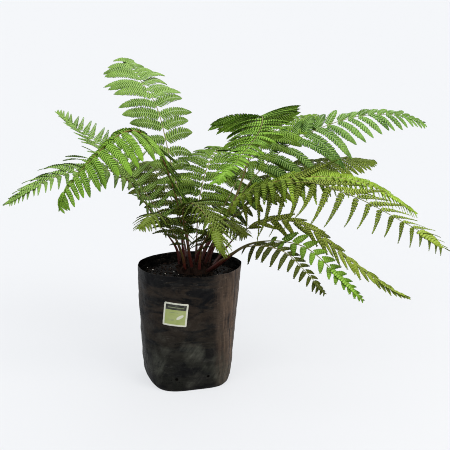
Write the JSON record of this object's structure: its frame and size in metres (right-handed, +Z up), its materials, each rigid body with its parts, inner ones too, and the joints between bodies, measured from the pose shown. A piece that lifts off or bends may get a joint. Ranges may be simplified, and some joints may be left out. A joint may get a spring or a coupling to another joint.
{
  "type": "potted tree fern",
  "caption": "Young tree fern with arching comb-leaved fronds in a black film planter bag, for a floor, bench or patio.",
  "frame": {"origin": "on the plane that the bag stands on, below the middle of the bag's round mouth", "axes": "+Z up, +X to the right as seen from the labelled front, +Y away from that front"},
  "size_m": [0.8229, 0.6381, 0.6043],
  "materials": {
    "bag_film": "thin black polythene film, semi-gloss, crumpled and dusty",
    "label": "printed sticker, satin: off-white edge, near-black band, olive field, no lettering",
    "mix": "dark loose potting mix of bark and peat with a few white grains, matt",
    "crown_fibre": "dark red-brown fibrous young trunk with dry scales, matt",
    "frond": "living leaf, mid green with paler ribs, satin; orange-brown to dark red-brown stalk"
  },
  "bodies": {
    "root": {"planter_bag": "bag_film", "plant_label": "label", "potting_mix": "mix", "crown": "crown_fibre", "frond_tall_rear": "frond", "frond_left_arch": "frond", "frond_left_long": "frond", "frond_left_rear": "frond", "frond_over_front": "frond", "frond_right_long": "frond", "frond_right_rear_high": "frond", "frond_right_rear_low": "frond", "frond_right_bright": "frond", "frond_right_low": "frond", "frond_right_front_upper": "frond", "frond_right_front_lower": "frond", "frond_front_low": "frond", "frond_front_left": "frond", "frond_rear": "frond", "frond_rear_left": "frond", "frond_inner_right": "frond", "frond_right_inner": "frond"}
  },
  "joints": []
}
